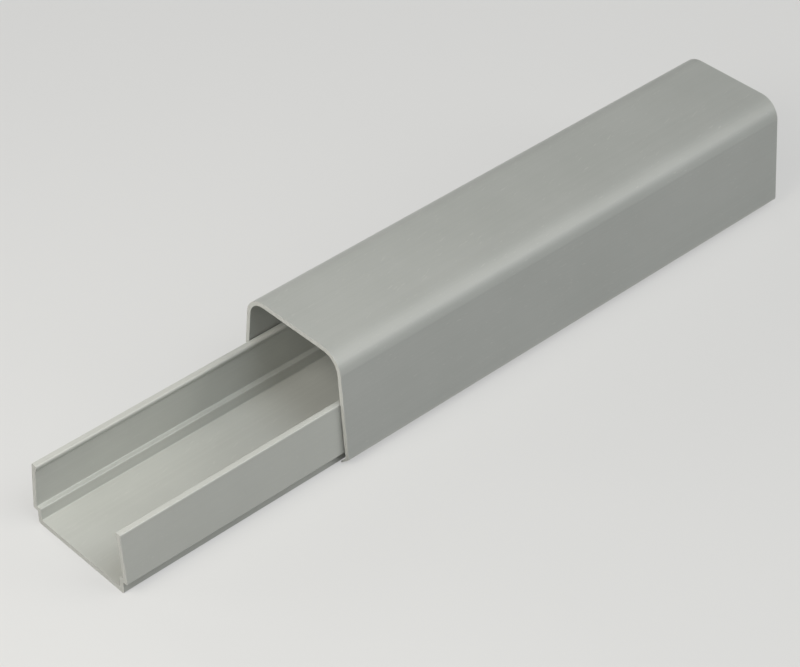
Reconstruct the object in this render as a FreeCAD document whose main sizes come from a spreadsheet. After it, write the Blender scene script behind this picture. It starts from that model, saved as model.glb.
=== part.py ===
"""Cord cover raceway: a base channel with a cover slid part of the way along it.

Two straight rigid plastic extrusions. The base channel is fixed to a flat surface and the cover goes over
it. X runs across the raceway, Y along it and Z up from the surface. The origin is the middle of the base
channel's underside. All sizes are in millimetres.
"""
import FreeCAD
import Part
import os
import Sketcher

doc = FreeCAD.newDocument("cord_cover_raceway")

# Driving dimensions. Widths are whole widths across X, heights are measured up from the base's underside.
sheet = doc.addObject("Spreadsheet::Sheet", "sizes")
SIZES = [
    ("cover_length", 202.3),
    ("cover_top", 42.3),
    ("cover_top_width", 42.2),
    ("cover_foot_width", 50.0),
    ("cover_foot", 3.5),
    ("cover_wall", 1.5),
    ("shoulder_radius", 7.9),
    ("lip_tip", 0.3),
    ("lip_tip_thickness", 0.7),
    ("lip_gap", 0.7),
    ("base_length", 202.3),
    ("base_height", 23.8),
    ("base_wall", 1.7),
    ("base_floor", 1.9),
    ("rim_bead", 0.55),
    ("rim_radius", 0.7),
    ("rim_clearance", 0.3),
    ("step_height", 4.9),
    ("step_depth", 2.1),
    ("step_clearance", 0.55),
    ("neck_wall", 1.6),
    ("ledge_thickness", 1.5),
    ("underside_radius", 0.9),
    ("edge_radius", 0.4),
    ("tip_radius", 0.2),
    ("cover_slid_back", 84.7),
]
for row, (name, value) in enumerate(SIZES, start=1):
    sheet.set(f"A{row}", name)
    sheet.set(f"B{row}", str(value))
    sheet.setAlias(f"B{row}", name)
doc.recompute()

# The cover's side wall leans in by this much for each millimetre of height.
COVER_LEAN = ("(sizes.cover_foot_width - sizes.cover_top_width) / 2"
              " / (sizes.cover_top - sizes.cover_foot)")


def cover_inside(height):
    """Half width between the cover's side walls at a height."""
    return (f"(sizes.cover_foot_width / 2 - ({height} - sizes.cover_foot) * {COVER_LEAN}"
            " - sizes.cover_wall)")


# The base fits inside the cover. Its walls come nearest to the cover's walls at their rim, with a small
# clearance that lets the cover slide, and stand a little further off at their foot, above the step.
RIM_OUTSIDE = f"({cover_inside('sizes.base_height')} - sizes.rim_clearance)"
STEP_OUTSIDE = f"({cover_inside('sizes.step_height')} - sizes.step_clearance)"
NECK_OUTSIDE = f"({STEP_OUTSIDE} - sizes.step_depth)"
BASE_LEAN = f"({STEP_OUTSIDE} - {RIM_OUTSIDE}) / (sizes.base_height - sizes.step_height)"


def base_outside(height):
    """Half width over the base's side walls at a height above the step."""
    return f"({STEP_OUTSIDE} - ({height} - sizes.step_height) * {BASE_LEAN})"


def origin_plane(body, role):
    return [feature for feature in body.Origin.OriginFeatures if feature.Role == role][0]


def section_sketch(body, name, corners):
    """Half of a section on the XZ plane: a closed outline through the named corners."""
    sketch = body.newObject("Sketcher::SketchObject", name)
    sketch.AttachmentSupport = [(origin_plane(body, "XZ_Plane"), "")]
    sketch.MapMode = "FlatFace"
    points = [FreeCAD.Vector(number(x), number(z), 0) for _, x, z in corners]
    count = len(corners)
    for index in range(count):
        sketch.addGeometry(Part.LineSegment(points[index], points[(index + 1) % count]), False)
    for index in range(count):
        sketch.addConstraint(Sketcher.Constraint("Coincident", index, 2, (index + 1) % count, 1))
    for index, (corner, x, z) in enumerate(corners):
        place_point(sketch, index, corner, "X", x, points[index].x)
        place_point(sketch, index, corner, "Y", z, points[index].y)
    return sketch


def place_point(sketch, line, corner, direction, size, value):
    """Hold the start of a line on an axis of the sketch, or at a size from the sheet."""
    if size == "0":
        axis = -2 if direction == "X" else -1
        sketch.addConstraint(Sketcher.Constraint("PointOnObject", line, 1, axis))
        return
    index = sketch.addConstraint(Sketcher.Constraint("Distance" + direction, line, 1, value))
    label = corner + ("_across" if direction == "X" else "_up")
    sketch.renameConstraint(index, label)
    sketch.setExpression("Constraints." + label, size)


def number(size):
    """The present value of an expression in the sheet's sizes."""
    value = sheet.evalExpression(size)
    return float(getattr(value, "Value", value))


def extrusion(name, label, corners, length):
    """A body that is one straight extrusion, the same on both sides of the middle."""
    body = doc.addObject("PartDesign::Body", name)
    body.Label = label
    sketch = section_sketch(body, name + "_section", corners)
    pad = body.newObject("PartDesign::Pad", name + "_half")
    pad.Profile = sketch
    pad.Midplane = True
    pad.setExpression("Length", length)
    body.Tip = pad
    doc.recompute()
    whole = body.newObject("PartDesign::Mirrored", name + "_whole")
    whole.Originals = [pad]
    whole.MirrorPlane = (origin_plane(body, "YZ_Plane"), [""])
    body.Tip = whole
    doc.recompute()
    return body


def round_edges(body, name, corners, names, radius):
    """Round the long edges that run through the named corners, on both sides."""
    base = body.Tip
    places = [(number(x), number(z)) for corner, x, z in corners if corner in names]
    edges = []
    for index, edge in enumerate(base.Shape.Edges, start=1):
        first, last = edge.Vertexes[0].Point, edge.Vertexes[-1].Point
        if abs(first.x - last.x) + abs(first.z - last.z) > 1e-6:
            continue
        if any(abs(abs(first.x) - x) < 1e-4 and abs(first.z - z) < 1e-4 for x, z in places):
            edges.append(f"Edge{index}")
    if len(edges) != 2 * len(names):
        raise RuntimeError(f"{name}: {len(edges)} edges found for {len(names)} corners")
    fillet = body.newObject("PartDesign::Fillet", name)
    fillet.Base = (base, edges)
    fillet.setExpression("Radius", radius)
    body.Tip = fillet
    doc.recompute()


# Base channel. Each wall stands on a step that sticks out past the neck, so there is a groove along the
# foot of the wall outside and a ledge inside. The rim swells a little inwards and its inner edge is rounded.
LEDGE_TOP = "(sizes.step_height + sizes.ledge_thickness)"
RIM_FOOT = "(sizes.base_height - sizes.rim_radius - sizes.edge_radius)"
RIM_INSIDE = f"({RIM_OUTSIDE} - sizes.base_wall - sizes.rim_bead)"
BEAD_FOOT = f"({RIM_FOOT} - 3 * sizes.rim_bead)"
base_corners = [
    ("middle", "0", "0"),
    ("underside", NECK_OUTSIDE, "0"),
    ("neck", NECK_OUTSIDE, "sizes.step_height"),
    ("step", STEP_OUTSIDE, "sizes.step_height"),
    ("rim_outer", RIM_OUTSIDE, "sizes.base_height"),
    ("rim_inner", RIM_INSIDE, "sizes.base_height"),
    ("rim_foot", RIM_INSIDE, RIM_FOOT),
    ("bead_foot", f"{base_outside(BEAD_FOOT)} - sizes.base_wall", BEAD_FOOT),
    ("ledge_outer", f"{base_outside(LEDGE_TOP)} - sizes.base_wall", LEDGE_TOP),
    ("ledge_inner", f"{NECK_OUTSIDE} - sizes.neck_wall", LEDGE_TOP),
    ("floor_edge", f"{NECK_OUTSIDE} - sizes.neck_wall", "sizes.base_floor"),
    ("floor_middle", "0", "sizes.base_floor"),
]
base = extrusion("base_channel_body", "base_channel", base_corners, "sizes.base_length")
round_edges(base, "base_rims", base_corners, ("rim_inner",), "sizes.rim_radius")
round_edges(base, "base_undersides", base_corners, ("underside",), "sizes.underside_radius")
round_edges(base, "base_edges", base_corners,
            ("neck", "step", "rim_outer", "rim_foot", "bead_foot", "ledge_outer", "ledge_inner",
             "floor_edge"),
            "sizes.edge_radius")

# Cover. The side walls spread towards the foot, where each turns in as a thin sloping lip that passes
# under the step of the base. The lip's tip stops just above the surface and just short of the neck.
cover_corners = [
    ("top_middle", "0", "sizes.cover_top"),
    ("shoulder", "sizes.cover_top_width / 2", "sizes.cover_top"),
    ("foot", "sizes.cover_foot_width / 2", "sizes.cover_foot"),
    ("tip_low", f"{NECK_OUTSIDE} + sizes.lip_gap", "sizes.lip_tip"),
    ("tip_high", f"{NECK_OUTSIDE} + sizes.lip_gap", "sizes.lip_tip + sizes.lip_tip_thickness"),
    ("lip_root", cover_inside("sizes.cover_foot"), "sizes.cover_foot"),
    ("inner_shoulder", cover_inside("(sizes.cover_top - sizes.cover_wall)"),
     "sizes.cover_top - sizes.cover_wall"),
    ("inner_middle", "0", "sizes.cover_top - sizes.cover_wall"),
]
cover = extrusion("cover_body", "cover", cover_corners, "sizes.cover_length")
round_edges(cover, "cover_shoulders", cover_corners, ("shoulder",), "sizes.shoulder_radius")
round_edges(cover, "cover_inner_shoulders", cover_corners, ("inner_shoulder",),
            "sizes.shoulder_radius - sizes.cover_wall")
round_edges(cover, "cover_feet", cover_corners, ("foot",), "2 * sizes.edge_radius")
round_edges(cover, "cover_lip_roots", cover_corners, ("lip_root",), "sizes.edge_radius")
round_edges(cover, "cover_lip_tips", cover_corners, ("tip_low", "tip_high"), "sizes.tip_radius")
cover.setExpression("Placement.Base.y", "sizes.cover_slid_back")
doc.recompute()

# Nothing is written unless every feature and both pieces are sound.
for item in doc.Objects:
    if "Invalid" in item.State or "Error" in item.State:
        raise RuntimeError(f"{item.Name} failed")
os.makedirs("parts", exist_ok=True)
for piece in (base, cover):
    if piece.Shape.isNull() or not piece.Shape.isValid() or len(piece.Shape.Solids) != 1:
        raise RuntimeError(f"{piece.Label} is not one sound solid")
for piece in (base, cover):
    piece.Shape.exportStep(f"parts/{piece.Label}.step")
    box = piece.Shape.BoundBox
    print(f"{piece.Label}: X {box.XMin:.2f} to {box.XMax:.2f}, Y {box.YMin:.2f} to {box.YMax:.2f},"
          f" Z {box.ZMin:.2f} to {box.ZMax:.2f}, volume {piece.Shape.Volume:.0f}")
for name, size in (("rim", RIM_OUTSIDE), ("step", STEP_OUTSIDE), ("neck", NECK_OUTSIDE),
                   ("inside rim", RIM_INSIDE)):
    print(f"{name}: half width {number(size):.2f}")
print(f"least gap between the pieces {base.Shape.distToShape(cover.Shape)[0]:.3f}")
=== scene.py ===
# %% [markdown]
# # A cable raceway, finished in Blender
#
# The object is a cord cover raceway, the plastic trunking that hides cords along a wall. It is two
# straight extrusions of rigid PVC: a shallow base channel that is fixed to the wall, and a deeper cover
# that grips it and is slid part of the way back here. Both shapes come from the CAD model, where every
# wall, rim, step and lip has its real size, so nothing is modelled twice. What a CAD model leaves out is
# the surface: the lines that the die draws, the sawn ends and the rub marks, with some painted light and
# painted highlight on the grey, the ends and the rims. They are the subject of this lesson.

# %% Load the CAD model as a fixed frame
import math

import bpy
from mathutils import Matrix, Vector


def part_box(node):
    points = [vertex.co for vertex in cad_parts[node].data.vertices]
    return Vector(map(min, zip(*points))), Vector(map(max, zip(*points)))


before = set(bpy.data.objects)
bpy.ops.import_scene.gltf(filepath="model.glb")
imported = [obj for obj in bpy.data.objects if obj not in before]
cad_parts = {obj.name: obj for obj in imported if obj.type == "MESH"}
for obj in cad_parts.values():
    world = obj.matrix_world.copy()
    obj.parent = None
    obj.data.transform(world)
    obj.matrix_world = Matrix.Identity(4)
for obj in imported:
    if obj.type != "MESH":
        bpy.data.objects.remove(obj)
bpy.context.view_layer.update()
MM = 0.001
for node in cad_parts:
    low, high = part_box(node)
    print(node, "measures", [round(side / MM, 1) for side in high - low], "mm")

# %% [markdown]
# ## Colours and nodes
#
# A colour picked from a screen is sRGB, but light adds up in linear values, so one small function turns a
# hex colour into what Blender's sockets take. A second one adds a node, fills or links its inputs and
# sets its own properties. With these two, a material can be read from top to bottom like a recipe.

# %% Colours and nodes
def linear(hex_colour):
    """An sRGB colour written as #RRGGBB, as the linear RGBA that Blender's sockets take."""
    channels = [int(hex_colour[i:i + 2], 16) / 255 for i in (1, 3, 5)]
    return [c / 12.92 if c <= 0.04045 else ((c + 0.055) / 1.055) ** 2.4 for c in channels] + [1.0]


def add(tree, kind, inputs=None, **settings):
    """A new node with its settings. inputs gives each socket, by name or number, a value or a link."""
    node = tree.nodes.new(kind)
    for name, value in settings.items():
        setattr(node, name, value)
    for key, value in (inputs or {}).items():
        if isinstance(value, bpy.types.NodeSocket):
            tree.links.new(value, node.inputs[key])
        else:
            node.inputs[key].default_value = value
    return node


print("middle grey #808080 is", round(linear("#808080")[0], 3), "in linear light")

# %% [markdown]
# ## Rigid PVC
#
# Trunking is made of unplasticised PVC, coloured light grey with titanium dioxide right through, so there
# is no coat of paint to chip. The eye sees an opaque, slightly warm grey with a satin gloss, neither wet
# nor chalky. PVC bends light like most plastics, with an IOR of 1.53. Its pigment is never mixed quite
# evenly, and slow clouds a few centimetres wide keep a long plain side from looking like flat paint. Both
# pieces are the same PVC, but the base channel's grey is painted a little lighter and the cover's a little
# darker: painted light, for the brighter light bouncing inside the channel.

# %% Rigid PVC
PVC_PIGMENT_AND_PAINTED_LIGHT = {
    # node: darker and lighter tone of its pigment, the base's pair painted lighter as painted light
    "base_channel": ("#B1B3AD", "#C7C9C3"),
    "cover": ("#A4A7A2", "#B8BAB6"),
}
PVC_IOR = 1.53
PVC_ROUGHNESS = 0.33
PIGMENT_CLOUD = 35 * MM
NOISE_GRAIN = 0.6               # how much of a noise lies in its finer details


def pigment(tree, place):
    """Noise from 0 to 1 in slow clouds."""
    return add(tree, "ShaderNodeTexNoise", {"Vector": place, "Scale": 1 / PIGMENT_CLOUD, "Detail": 3.0,
                                            "Roughness": NOISE_GRAIN}).outputs[0]


for node, (dark, light) in PVC_PIGMENT_AND_PAINTED_LIGHT.items():
    print(node, "reflects", round(linear(dark)[1], 2), "to", round(linear(light)[1], 2), "of the light")

# %% [markdown]
# ## Lines from the die
#
# Molten PVC is pushed through a steel die and cooled in a sizing block. Every nick and every polish mark
# on that steel draws a faint line along the whole length, and the skin between the lines has a fine
# orange peel. A noise texture makes both. For the lines it is stretched, because the Mapping node
# squeezes the length of the raceway: a pattern a millimetre wide and half a metre long looks the same on
# every side, as the real lines do.

# %% Lines from the die
DIE_LINE_SPACING = 1.1 * MM     # the finest are about 0.2 mm, drawn coarser so that they show
DIE_LINE_LENGTH = 500 * MM
DIE_LINE_DEPTH = 0.006 * MM
ORANGE_PEEL = 0.8 * MM          # about 0.3 mm on the real skin, drawn coarser so that it shows
ORANGE_PEEL_DEPTH = 0.006 * MM


def streaks(tree, place, spacing, length, detail=2.0):
    """Noise from 0 to 1 in streaks along the raceway, about this far apart and this long."""
    squeezed = add(tree, "ShaderNodeMapping", {"Vector": place, "Scale": (1, spacing / length, 1)})
    return add(tree, "ShaderNodeTexNoise", {"Vector": squeezed.outputs[0], "Scale": 1 / spacing,
                                            "Detail": detail, "Roughness": NOISE_GRAIN}).outputs[0]


def skin_bump(tree, place, lines):
    """The normal of the extruded skin: die lines first, then orange peel on top of them."""
    lined = add(tree, "ShaderNodeBump", {"Height": lines, "Distance": DIE_LINE_DEPTH})
    peel = add(tree, "ShaderNodeTexNoise", {"Vector": place, "Scale": 1 / ORANGE_PEEL, "Detail": 1.0})
    return add(tree, "ShaderNodeBump", {"Height": peel.outputs[0], "Distance": ORANGE_PEEL_DEPTH,
                                        "Normal": lined.outputs[0]}).outputs[0]


print("die lines every", round(DIE_LINE_SPACING / MM, 1), "mm")

# %% [markdown]
# ## Sawn ends
#
# The raceway is cut to length with a fine circular saw. The cut face isn't satin but matt, with shallow
# arcs where the teeth went through, and it is painted a shade paler: partly the real paleness of sawn PVC,
# partly painted light for the light that falls on the ends. The sharp edge round it turns white where the
# plastic was torn, and is painted paler still as a painted highlight along the edge. The material finds
# the cut by
# itself: on it, the surface looks along the raceway. The arcs are the rings of a Wave texture whose centre
# lies where the saw's spindle was, and the torn edge is the last few tenths of a millimetre before the
# end, broken up by noise.

# %% Sawn ends
# pale grey of sawn faces, scratches, rubbing and torn edges; on ends and rims partly painted light and
# highlight
PALE_WEAR_AND_LIGHT_GREY = "#C8C9C3"
SAWN_ROUGHNESS = 0.78
SAWN_FACING = 0.8               # the normal's part along the raceway: 1 on a cut face, 0 on the skin
SAW_MARK_SPACING = 0.7 * MM
SAW_MARK_DEPTH = 0.03 * MM
SAW_SPINDLE = (-90 * MM, 0, -70 * MM)
WAVE_PERIOD = math.tau / 20     # a Wave texture of scale 1 repeats after this length
# the torn edge's width, which carries a painted highlight as well as the tear
TORN_AND_HIGHLIGHT_WIDTH = 0.35 * MM
TORN_AND_HIGHLIGHT_GRAIN = 0.875 * MM


def sawn(tree, facing):
    """1 where the surface looks along the raceway, as only the sawn faces do, and 0 on the skin."""
    along = add(tree, "ShaderNodeSeparateXYZ", {"Vector": facing}).outputs["Y"]
    either = add(tree, "ShaderNodeMath", {0: along}, operation="ABSOLUTE").outputs[0]
    return add(tree, "ShaderNodeMath", {0: either, 1: SAWN_FACING}, operation="GREATER_THAN").outputs[0]


def saw_marks(tree, place):
    """Arcs round the place of the saw's spindle."""
    moved = add(tree, "ShaderNodeMapping", {"Vector": place, "Location": [-c for c in SAW_SPINDLE]})
    return add(tree, "ShaderNodeTexWave", {"Vector": moved.outputs[0],
                                           "Scale": WAVE_PERIOD / SAW_MARK_SPACING,
                                           "Distortion": 2.0, "Detail": 2.0, "Detail Scale": 0.7},
               wave_type="RINGS", rings_direction="Y").outputs[1]


def torn_edge_and_highlight(tree, place, half_length):
    """0 to 1 in the last few tenths of a millimetre before either end, in an uneven line: tear and painted
    highlight.
    """
    y = add(tree, "ShaderNodeSeparateXYZ", {"Vector": place}).outputs["Y"]
    off = add(tree, "ShaderNodeMath", {0: y}, operation="ABSOLUTE").outputs[0]
    near = add(tree, "ShaderNodeMapRange", {"Value": off, "From Min": half_length - TORN_AND_HIGHLIGHT_WIDTH,
                                            "From Max": half_length}, interpolation_type="SMOOTHSTEP")
    ragged = add(tree, "ShaderNodeTexNoise", {"Vector": place, "Scale": 1 / TORN_AND_HIGHLIGHT_GRAIN, "Detail": 2.0})
    return add(tree, "ShaderNodeMath", {0: near.outputs[0], 1: ragged.outputs[0]},
               operation="MULTIPLY").outputs[0]


print("saw marks every", round(SAW_MARK_SPACING / MM, 1), "mm")

# %% [markdown]
# ## Scratches from handling
#
# Lengths of trunking are bundled, carried and pushed through each other, mostly end first, so their
# hairline scratches run nearly lengthwise. They are streaks too, short ones, turned a few degrees off the
# length and cut off at a high level, so that only the peaks of the noise remain as lone pale lines.

# %% Scratches from handling
SCRATCH_SPACING = 0.6 * MM      # a real hairline is 0.05 mm wide, drawn coarser so that it shows
SCRATCH_LENGTH = 26 * MM
SCRATCH_TURN = [math.radians(a) for a in (7, 4, -13)]
SCRATCH_FADE = 0.08             # from the level where a scratch starts to where it is full


def scratches(tree, place, level):
    """Lone streaks, the parts of a turned and stretched noise above a level."""
    turned = add(tree, "ShaderNodeMapping", {"Vector": place, "Rotation": SCRATCH_TURN}).outputs[0]
    noise = streaks(tree, turned, SCRATCH_SPACING, SCRATCH_LENGTH, 1.0)
    return add(tree, "ShaderNodeMapRange", {"Value": noise, "From Min": level,
                                            "From Max": level + SCRATCH_FADE},
               interpolation_type="SMOOTHSTEP").outputs[0]


print("scratches about", round(SCRATCH_LENGTH / MM), "mm long")

# %% [markdown]
# ## Rubbed rims, with a painted highlight
#
# The rims of the base channel are its highest edges. Stacked lengths lie on them and the cover slides
# over them, so they are rubbed, and they are painted a little paler than the walls below, in dashes along
# their length: partly as rubbing, partly as a painted highlight where their edges catch the light. The
# section is the same all along, so a height is all that finds the rims. The cover has its own rubbed
# band, along its foot, which is dragged over benches and floors.

# %% Rubbed rims, with a painted highlight
RUB_AND_SHEEN_HEIGHT = 0.9 * MM
RUB_AND_SHEEN_SPACING = 0.8 * MM
RUB_AND_SHEEN_LENGTH = 45 * MM
RUB_AND_SHEEN_DASH = (0.3, 0.6)           # levels of the noise where a dash starts and where it is full
RUB_AND_SHEEN_BETWEEN = 0.55              # what is left of the rubbing between two dashes


def rub_and_sheen_band(tree, place, edge, inward):
    """0 to 1 in a band beside a height, in dashes: rubbing, on the base's rims also painted highlight. The
    band goes up from it for 1, and down for -1.
    """
    z = add(tree, "ShaderNodeSeparateXYZ", {"Vector": place}).outputs["Z"]
    far = edge + inward * RUB_AND_SHEEN_HEIGHT
    band = add(tree, "ShaderNodeMapRange", {"Value": z, "From Min": far, "From Max": (edge + far) / 2},
               interpolation_type="SMOOTHSTEP").outputs[0]
    dashes = add(tree, "ShaderNodeMapRange", {"Value": streaks(tree, place, RUB_AND_SHEEN_SPACING, RUB_AND_SHEEN_LENGTH),
                                              "From Min": RUB_AND_SHEEN_DASH[0], "From Max": RUB_AND_SHEEN_DASH[1],
                                              "To Min": RUB_AND_SHEEN_BETWEEN}).outputs[0]
    return add(tree, "ShaderNodeMath", {0: band, 1: dashes}, operation="MULTIPLY").outputs[0]


print("rubbed band", round(RUB_AND_SHEEN_HEIGHT / MM, 1), "mm high")

# %% [markdown]
# ## The whole finish
#
# Each layer above is a number from 0 to 1, and this function lays them over each other: pigment and die
# lines tint the grey, scratches lighten it, the rubbed bands and the torn edge lighten it, partly as wear
# and partly as painted highlight, scratches also roughen it, and the sawn face has a colour, paler in part
# as painted light, a roughness and a bump of its own. A Mapping node centres the patterns on their own
# piece, so that the torn edges lie at its two ends, and Object coordinates carry them along when the cover
# slides.

# %% The whole finish
LINE_TINT = 0.32
SCRATCH_TINT = 0.35
# paleness of the torn edge, partly a painted highlight
TORN_AND_HIGHLIGHT_TINT = 0.9
# paleness of the rubbed bands, on the base's rims partly a painted highlight
RUB_AND_SHEEN_TINT = 0.6
ROUGHNESS_SWING = 0.05          # the skin between two die lines is smoother or rougher by this much
SCRATCH_ROUGHNESS = 0.15


def extruded_pvc(name, node, scratch_level, rub_and_sheen_edge, rub_and_sheen_inward):
    """The material of one extrusion: its skin, its rubbed edges and its two sawn ends, with their painted
    highlight and light.
    """
    low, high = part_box(node)
    material = bpy.data.materials.new(name)
    material.use_nodes = True
    tree = material.node_tree
    tree.nodes.clear()
    coordinates = add(tree, "ShaderNodeTexCoord").outputs
    place = add(tree, "ShaderNodeMapping", {"Vector": coordinates["Object"],
                                            "Location": (0, -(low.y + high.y) / 2, 0)}).outputs[0]
    lines = streaks(tree, place, DIE_LINE_SPACING, DIE_LINE_LENGTH)
    clouds = pigment(tree, place)
    hairs = scratches(tree, place, scratch_level)
    cut = sawn(tree, coordinates["Normal"])
    torn_and_highlight = torn_edge_and_highlight(tree, place, (high.y - low.y) / 2)
    rub_and_sheen = rub_and_sheen_band(tree, place, rub_and_sheen_edge, rub_and_sheen_inward)

    # the base's pair of greys is painted lighter than the cover's, as painted light
    dark, light = PVC_PIGMENT_AND_PAINTED_LIGHT[node]
    tint = add(tree, "ShaderNodeMix", {"Factor": LINE_TINT, 2: clouds, 3: lines}).outputs[0]
    colour = add(tree, "ShaderNodeMix", {"Factor": tint, 6: linear(dark), 7: linear(light)},
                 data_type="RGBA").outputs[2]
    # scratches are wear; rubbed rims and torn edges are paler partly as wear, partly as painted highlight,
    # the sawn face partly as painted light
    for share, strength in ((hairs, SCRATCH_TINT), (rub_and_sheen, RUB_AND_SHEEN_TINT), (torn_and_highlight, TORN_AND_HIGHLIGHT_TINT), (cut, 1.0)):
        some = add(tree, "ShaderNodeMath", {0: share, 1: strength}, operation="MULTIPLY").outputs[0]
        colour = add(tree, "ShaderNodeMix", {"Factor": some, 6: colour, 7: linear(PALE_WEAR_AND_LIGHT_GREY)},
                     data_type="RGBA").outputs[2]

    skin_roughness = add(tree, "ShaderNodeMapRange",
                         {"Value": tint, "To Min": PVC_ROUGHNESS - ROUGHNESS_SWING,
                          "To Max": PVC_ROUGHNESS + ROUGHNESS_SWING}).outputs[0]
    marked = add(tree, "ShaderNodeMath", {0: hairs, 1: SCRATCH_ROUGHNESS, 2: skin_roughness},
                 operation="MULTIPLY_ADD").outputs[0]
    roughness = add(tree, "ShaderNodeMix", {"Factor": cut, 2: marked, 3: SAWN_ROUGHNESS}).outputs[0]

    marks = add(tree, "ShaderNodeMath", {0: saw_marks(tree, place), 1: cut},
                operation="MULTIPLY").outputs[0]
    normal = add(tree, "ShaderNodeBump", {"Height": marks, "Distance": SAW_MARK_DEPTH,
                                          "Normal": skin_bump(tree, place, lines)}).outputs[0]
    surface = add(tree, "ShaderNodeBsdfPrincipled", {"Base Color": colour, "Roughness": roughness,
                                                     "IOR": PVC_IOR, "Normal": normal})
    add(tree, "ShaderNodeOutputMaterial", {"Surface": surface.outputs[0]})
    return material


# both pieces are the same PVC; the difference between their two pigments is painted light
print("the finish takes its pigment from", len(PVC_PIGMENT_AND_PAINTED_LIGHT), "batches")

# %% [markdown]
# ## Dress the two pieces
#
# Each piece gets a material of its own, because its grey with its painted light, its length and the height
# of its rubbed edge, on the base also a painted highlight, are its own. On the cover the scratches start
# at a higher level of the noise, so it has fewer. The material goes into the slot that the CAD solid
# already has, and the solid itself isn't touched.

# %% Dress the two pieces
COVER_FOOT = 3 * MM             # the cover's side turns in this far above its lips
WEAR_AND_SHEEN = {
    # node: level where scratches start, height of the rubbed edge (on the base also a painted highlight),
    # 1 or -1 for a band above or below it
    "base_channel": (0.66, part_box("base_channel")[1].z, -1),
    "cover": (0.68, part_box("cover")[0].z + COVER_FOOT, 1),
}
for node, (scratch_level, rub_and_sheen_edge, rub_and_sheen_inward) in WEAR_AND_SHEEN.items():
    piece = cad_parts[node]
    piece.material_slots[0].material = extruded_pvc("rigid_pvc_extruded_" + node, node, scratch_level,
                                                    rub_and_sheen_edge, rub_and_sheen_inward)
    print(piece.name, "now has", piece.material_slots[0].material.name)

# %% [markdown]
# ## Floor
#
# A plain pale floor lets the grey plastic stand out and takes its soft shadow. It is one wide disc that
# reaches past the edge of any view, at the height of the underside of the base channel.

# %% Floor
FLOOR_RADIUS = 8.0              # metres

bpy.ops.object.select_all(action="DESELECT")
bpy.ops.mesh.primitive_circle_add(vertices=128, radius=FLOOR_RADIUS, fill_type="NGON", location=(0, 0, 0))
floor = bpy.context.active_object
floor.name = "floor"
print("floor", [round(side, 1) for side in floor.dimensions[:2]], "m wide")

# %% [markdown]
# ## Floor paint
#
# A really white floor would throw a lot of light up at the sides of the raceway, so its paint is a middle
# grey, and only what the camera and the gloss see of it is lifted to a pale tone. Round the raceway more
# of that tone is paler paint, which takes the shadow. Further out, where the lamps don't light it evenly,
# nearly all of it is a glow that is the same everywhere.

# %% Floor paint
FLOOR_GREY = "#727270"
FLOOR_LIFT = 0.55
SHADOW_PAINT = "#939390"
SHADOW_LIFT = 0.43
SHADOW_REACH = (0.25, 0.7)      # metres from the middle, from all of the paler paint to none

paint = bpy.data.materials.new("matt_floor_paint")
paint.use_nodes = True
tree = paint.node_tree
tree.nodes.clear()
rays = add(tree, "ShaderNodeLightPath").outputs
seen = add(tree, "ShaderNodeMath", {0: rays["Is Camera Ray"], 1: rays["Is Glossy Ray"]},
           operation="MAXIMUM").outputs[0]
place = add(tree, "ShaderNodeTexCoord").outputs["Object"]
off = add(tree, "ShaderNodeVectorMath", {0: place}, operation="LENGTH").outputs["Value"]
near = add(tree, "ShaderNodeMapRange", {"Value": off, "From Min": SHADOW_REACH[0],
                                        "From Max": SHADOW_REACH[1], "To Min": 1.0, "To Max": 0.0},
           interpolation_type="SMOOTHSTEP").outputs[0]
painted = add(tree, "ShaderNodeMath", {0: seen, 1: near}, operation="MULTIPLY").outputs[0]
tone = add(tree, "ShaderNodeMix", {"Factor": painted, 6: linear(FLOOR_GREY), 7: linear(SHADOW_PAINT)},
           data_type="RGBA").outputs[2]
level = add(tree, "ShaderNodeMix", {"Factor": near, 2: FLOOR_LIFT, 3: SHADOW_LIFT}).outputs[0]
lift = add(tree, "ShaderNodeMath", {0: seen, 1: level}, operation="MULTIPLY").outputs[0]
matt = add(tree, "ShaderNodeBsdfDiffuse", {"Color": tone})
glow = add(tree, "ShaderNodeEmission", {"Color": linear("#FFFFFF"), "Strength": lift})
both = add(tree, "ShaderNodeAddShader", {0: matt.outputs[0], 1: glow.outputs[0]})
add(tree, "ShaderNodeOutputMaterial", {"Surface": both.outputs[0]})
floor.data.materials.append(paint)
print("the floor's paint fades from", SHADOW_REACH[0], "to", SHADOW_REACH[1], "m")

# %% [markdown]
# ## Light
#
# The light is soft and comes from several large lamps, as in a product photographer's tent. One hangs
# close over the near end, so the floor of the channel is the brightest part and the cover's top fades
# towards its far end. The lamps behind the raceway on the right are mirrored in the rounded shoulder, and
# that satin band is what makes the roundness show. The low ones in front reach the sawn ends and the
# mouth of the cover, and those at the left and at the back keep the far sides from being dark.

# %% Light
LAMPS = {
    # name: place in metres, diameter in metres, power in watts, colour
    "overhead_near": ((0.04, -0.34, 0.38), 0.3, 1.4, "#FFFBF5"),
    "right_high": ((0.75, 0, 1.3), 0.8, 6.3, "#F4F9FF"),
    "back_right_low": ((1.15, 0.8, 0.55), 0.8, 2.4, "#F8FBFF"),
    "front_right_low": ((0.89, -1.55, 0.65), 1.2, 4.6, "#FFFFFF"),
    "back_right": ((0.93, 0.82, 0.87), 1.0, 4.5, "#FFFDF6"),
    "back_right_high": ((0.4, 0.8, 1.21), 0.7, 1.2, "#FFFDF6"),
    "front_left_low": ((-1.3, -1.3, 0.49), 0.9, 7.5, "#FFFFFF"),
    "left_low": ((-1.83, 0.16, 0.49), 0.9, 9.0, "#FFFDFA"),
    "back_low": ((-0.16, 1.83, 0.5), 0.9, 3.4, "#FFFDFA"),
}
for name, (place, size, watts, colour) in LAMPS.items():
    bpy.ops.object.light_add(type="AREA", location=place)
    lamp = bpy.context.active_object
    lamp.name = name
    lamp.data.shape = "DISK"
    lamp.data.size = size
    lamp.data.energy = watts
    lamp.data.color = linear(colour)[:3]
    lamp.rotation_euler = (-Vector(place)).to_track_quat("-Z", "Y").to_euler()
    lamp.visible_camera = False
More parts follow.
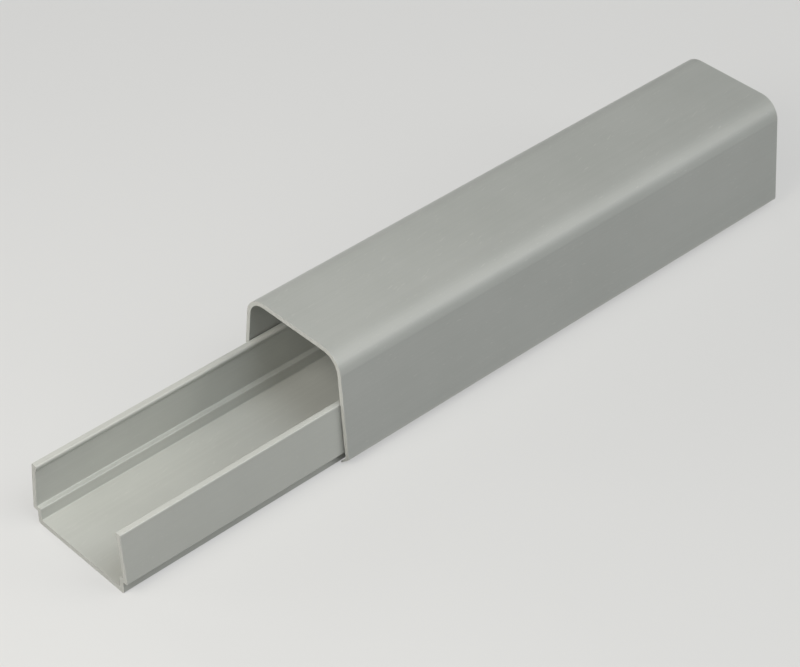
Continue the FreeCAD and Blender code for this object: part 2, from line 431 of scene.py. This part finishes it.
print(len(LAMPS), "lamps,", round(sum(watts for _, _, watts, _ in LAMPS.values()), 1), "watts together")

# %% [markdown]
# ## Room
#
# Behind the floor there is only the world. It gives a little light from everywhere, so that no side is
# black, and the camera sees it in the floor's pale tone, so that the horizon doesn't show.

# %% Room
ROOM_LIGHT = 0.05
ROOM_SEEN = "#C6C6C5"           # the tone of the floor at its far edge
world = bpy.data.worlds.new("room")
bpy.context.scene.world = world
world.use_nodes = True
tree = world.node_tree
tree.nodes.clear()
rays = add(tree, "ShaderNodeLightPath").outputs
dim = add(tree, "ShaderNodeBackground", {"Color": linear("#FFFFFF"), "Strength": ROOM_LIGHT})
pale = add(tree, "ShaderNodeBackground", {"Color": linear(ROOM_SEEN), "Strength": 1.0})
room = add(tree, "ShaderNodeMixShader", {0: rays["Is Camera Ray"], 1: dim.outputs[0],
                                         2: pale.outputs[0]})
add(tree, "ShaderNodeOutputWorld", {"Surface": room.outputs[0]})
print("room light", ROOM_LIGHT)

# %% [markdown]
# ## Camera
#
# The photograph looks down on the near end from the right. Its vanishing points give the direction and
# the focal length: the far end is only a little smaller than the near one, so the lens is long and the
# camera stands about eight tenths of a metre away.

# %% Camera
EYE = Vector((451.98, -395.57, 519.53)) * MM
AZIMUTH, ELEVATION, ROLL = (math.radians(angle) for angle in (46.829, 39.188, 0.277))
SENSOR_WIDTH = 36.0             # millimetres, as is the focal length
FOCAL_LENGTH = 111.97
NEAREST_SEEN = 50 * MM

ahead = Vector((-math.sin(AZIMUTH) * math.cos(ELEVATION), math.cos(AZIMUTH) * math.cos(ELEVATION),
                -math.sin(ELEVATION)))
turn = ahead.to_track_quat("-Z", "Y").to_matrix() @ Matrix.Rotation(ROLL, 3, "Z")
bpy.ops.object.camera_add(location=EYE, rotation=turn.to_euler())
camera = bpy.context.active_object
camera.data.sensor_width = SENSOR_WIDTH
camera.data.lens = FOCAL_LENGTH
camera.data.clip_start = NEAREST_SEEN
bpy.context.scene.camera = camera
bpy.context.scene.view_settings.view_transform = "Standard"
print("camera", round(EYE.length, 2), "m from the middle of the base channel")
